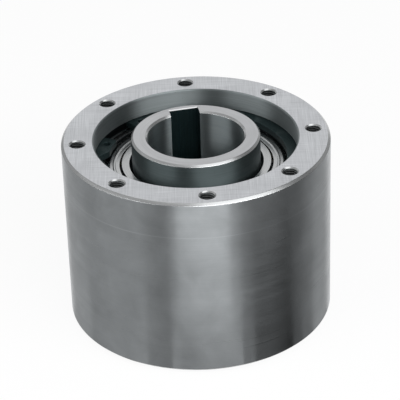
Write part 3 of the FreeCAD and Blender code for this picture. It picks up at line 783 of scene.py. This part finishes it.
for master, part_name, body, slot in (
        (outer_ring, "bearing_outer_ring", "housing", "bearing_ring_steel"),
        (inner_ring, "bearing_inner_ring", "hub", "bearing_ring_steel"),
        (outboard_shield, "outboard_shield", "housing", "shield_sheet"),
        (inboard_shield, "inboard_shield", "housing", "shield_sheet")):
    for end, over in (("upper", False), ("lower", True)):
        piece = copied(master, f"{end}_{part_name}_smooth", 0.0, over)
        fit_piece(piece, body, slot, f"{end}_{part_name}")
    bpy.data.objects.remove(master, do_unlink=True)


# Circlips

for end in ("upper", "lower"):
    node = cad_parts[f"{end}_circlip"]
    pick_up(node)
    bpy.ops.object.duplicate()
    clip = bpy.context.object
    clip.name = clip.data.name = f"{end}_circlip_rounded"
    clip.parent = None
    clip.data.materials.clear()
    choose(clip, lambda spot: True)
    bpy.ops.mesh.remove_doubles(threshold=0.002 * MM)
    bpy.ops.mesh.dissolve_limited(angle_limit=math.radians(1))
    bpy.ops.mesh.normals_make_consistent(inside=False)
    put_down()
    break_edges(clip, 0.3, segments=3, angle=50)
    smooth(clip, 35)
    paint(clip, phosphated_steel)
    fit_piece(clip, "housing", "circlip_steel", f"{end}_circlip")


# Inner parts that keep their CAD shape

def inner_finish(name):
    if name.startswith("cam_") and name[4:].isdigit():
        return cam_metal
    if name == "cam_cage":
        return cage_metal
    if name.endswith("cam_spring"):
        return spring_metal
    if name.endswith("ball_cage"):
        return cage_polymer
    if name.endswith("balls"):
        return ball_metal
    return bearing_steel


for name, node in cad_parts.items():
    for place in node.material_slots:
        place.material = inner_finish(name)


# Studio

VIEW = -94.4             # direction of the camera from the part, in degrees from +X


def camera_share(tree, strength):
    """How much of the plain white a ray sees: camera, mirror and glass rays see it."""
    rays = tree.nodes.new("ShaderNodeLightPath").outputs
    seen = math_node(tree, "MAXIMUM", rays["Is Camera Ray"], rays["Is Glossy Ray"])
    seen = math_node(tree, "MAXIMUM", seen, rays["Is Transmission Ray"])
    return math_node(tree, "MULTIPLY", seen, strength)


def make_world():
    world = bpy.data.worlds.new("studio")
    bpy.context.scene.world = world
    world.use_nodes = True
    tree = world.node_tree
    tree.nodes.clear()
    soft = add_node(tree, "Background", {"Color": (1, 1, 1, 1), "Strength": 0.45})
    white = add_node(tree, "Background", {"Color": (1, 1, 1, 1), "Strength": 1.0})
    mix = add_node(tree, "MixShader", {0: camera_share(tree, 1.0), 1: soft.outputs[0],
                                       2: white.outputs[0]})
    out = tree.nodes.new("ShaderNodeOutputWorld")
    tree.links.new(mix.outputs[0], out.inputs[0])


def make_floor():
    put_down()
    bpy.ops.mesh.primitive_plane_add(size=8, location=(0, 0, -0.0001))
    floor = bpy.context.object
    floor.name = "floor"
    settle(floor)
    paper = bpy.data.materials.new("floor_paper")
    paper.use_nodes = True
    tree = paper.node_tree
    tree.nodes.clear()
    matt = add_node(tree, "BsdfDiffuse", {"Color": (0.85, 0.85, 0.85, 1)})
    white = add_node(tree, "Emission", {"Color": (1, 1, 1, 1), "Strength": 1.0})
    mix = add_node(tree, "MixShader", {0: camera_share(tree, 0.9), 1: matt.outputs[0],
                                       2: white.outputs[0]})
    out = tree.nodes.new("ShaderNodeOutputMaterial")
    tree.links.new(mix.outputs[0], out.inputs[0])
    floor.data.materials.append(paper)


def make_lamp(name, azimuth, elevation, distance, width, height, power):
    """A softbox aimed at the part. Azimuth is from +X, anticlockwise from above."""
    put_down()
    turn, rise = math.radians(azimuth), math.radians(elevation)
    way = Vector((math.cos(rise) * math.cos(turn), math.cos(rise) * math.sin(turn),
                  math.sin(rise)))
    spot = Vector((0, 0, 0.06)) + way * distance
    bpy.ops.object.light_add(type="AREA", location=spot,
                             rotation=way.to_track_quat("Z", "Y").to_euler())
    lamp = bpy.context.object
    lamp.name = lamp.data.name = name
    lamp.data.shape = "RECTANGLE"
    lamp.data.size, lamp.data.size_y = width, height
    lamp.data.energy = power


def set_up_card(card, name, shade):
    """Make a card glow grey at its shade, as a painted reflection, and let only mirror rays see it."""
    put_down()
    card.name = name
    grey = bpy.data.materials.new(name + "_grey")
    grey.use_nodes = True
    tree = grey.node_tree
    tree.nodes.clear()
    glow = add_node(tree, "Emission", {"Color": (shade, shade, shade, 1), "Strength": 1.0})
    out = tree.nodes.new("ShaderNodeOutputMaterial")
    tree.links.new(glow.outputs[0], out.inputs[0])
    card.data.materials.append(grey)
    card.visible_camera = card.visible_diffuse = card.visible_shadow = False
    card.visible_transmission = card.visible_volume_scatter = False


def make_high_card(name, start, end, shade, bottom, top):
    """A curved card 1.7 m from the part, between two directions from the camera's."""
    put_down()
    bpy.ops.mesh.primitive_circle_add(vertices=180, radius=1.7, location=(0, 0, bottom))
    card = bpy.context.object
    settle(card)
    choose(card, lambda spot: True)
    bpy.ops.mesh.extrude_region_move(TRANSFORM_OT_translate={"value": (0, 0, top - bottom)})
    middle = math.radians(VIEW + (start + end) / 2)
    middle = Vector((math.cos(middle), math.sin(middle)))
    half = math.cos(math.radians((end - start) / 2))
    choose(card, lambda centre, normal: centre.xy.normalized().dot(middle) < half, "FACE")
    bpy.ops.mesh.delete(type="FACE")
    set_up_card(card, name, shade)


def make_floor_card(name, start, end, shade, near, far, rise=0.0):
    """A glowing card on the floor that the side of the part mirrors between two places on it, as a
    painted reflection of the floor and its shade.

    The places are degrees round the side from the camera's direction. near and far are
    metres out from the side, along the way that it mirrors, and the far edge can rise.
    """
    put_down()
    far_off = 50.0       # metres: an unmoved corner is never taken for a moved one
    bpy.ops.mesh.primitive_plane_add(size=2 * far_off)
    card = bpy.context.object
    for side, place in ((-1, start), (1, end)):
        wall, way = math.radians(VIEW + place), math.radians(VIEW + 2 * place)
        for out, distance in ((-1, near), (1, far)):
            reach = RACE_RADIUS * MM
            corner = Vector((reach * math.cos(wall) + distance * math.cos(way),
                             reach * math.sin(wall) + distance * math.sin(way), 0.0004))
            choose(card, lambda spot: min(spot.x * side, spot.y * out) * MM > far_off / 2)
            bpy.ops.transform.translate(
                value=corner - Vector((far_off * side, far_off * out, 0)))
    if rise:
        choose(card, lambda spot: spot.xy.length * MM > far)
        bpy.ops.mesh.extrude_region_move(TRANSFORM_OT_translate={"value": (0, 0, rise)})
        bpy.ops.transform.resize(value=(1.6, 1.6, 1))
    set_up_card(card, name, shade)


def make_under_card(name, shade, radius):
    """A dark card under the part, where no light would reach the floor."""
    put_down()
    bpy.ops.mesh.primitive_circle_add(vertices=64, radius=radius, fill_type="NGON",
                                      location=(0, 0, -0.00005))
    card = bpy.context.object
    settle(card)
    set_up_card(card, name, shade)


def make_camera():
    """The photo's own view, found from the ellipses of the part's rims."""
    put_down()
    bpy.ops.object.camera_add(
        location=(-0.0632477, -0.8201056, 0.5356259),
        rotation=(math.radians(59.72056), math.radians(1.61911), math.radians(-5.42709)))
    camera = bpy.context.object
    camera.name = "camera"
    camera.data.sensor_width = 36.0
    camera.data.lens = 181.5924
    camera.data.clip_start = 0.05
    bpy.context.scene.camera = camera


make_world()
make_floor()

# Softboxes, with their distance and size in metres and their power in watts
make_lamp("right_softbox", VIEW + 44, 56, 1.1, 0.9, 0.5, 1.4)
make_lamp("right_low_softbox", VIEW + 32, 31, 1.3, 1.75, 0.3, 15.5)
make_lamp("left_low_softbox", VIEW - 63, 25, 1.3, 1.2, 0.25, 8.0)

# Glowing grey cards that only mirror rays see, painted reflections of a darker studio and of the
# floor's shade, with their shades
make_high_card("front_card", -60, 140, 0.25, 0.0, 1.2)
make_high_card("left_high_card", -140, -2, 0.47, 1.05, 2.9)
make_high_card("right_high_card", 82, 140, 0.33, 1.2, 1.7)
make_high_card("right_top_card", 80, 140, 0.10, 1.7, 5.0)
for name, start, end, shade in (("left_edge_card", -77, -56, 0.49),
                                ("left_card", -56, -24, 0.38),
                                ("left_inner_card", -24, -13, 0.27),
                                ("band_left_card", -13, -9.5, 0.44),
                                ("band_right_card", 13, 17.5, 0.38),
                                ("right_inner_card", 17.5, 23, 0.15),
                                ("right_fading_card", 43, 49, 0.14),
                                ("right_side_card", 49, 57, 0.26),
                                ("right_edge_card", 57, 74, 0.46)):
    make_floor_card(name, start, end, shade, 0, 0.22, rise=0.2)
# Painted shadow: near-black cards stand for the part's own shadow on the floor, as the side mirrors
# it.
make_floor_card("right_card", 23, 43, 0.012, 0, 0.15)
make_floor_card("right_far_card", 23, 43, 0.15, 0.15, 0.22, rise=0.2)
# Painted shade: the floor near the foot is made darker in the side's reflection.
make_floor_card("near_floor_card", -9.5, 13, 0.38, 0, 0.05)
make_floor_card("middle_floor_card", -9.5, 13, 0.65, 0.05, 0.12)
make_under_card("under_card", 0.05, 0.058)
make_camera()
bpy.context.scene.view_settings.view_transform = "Standard"
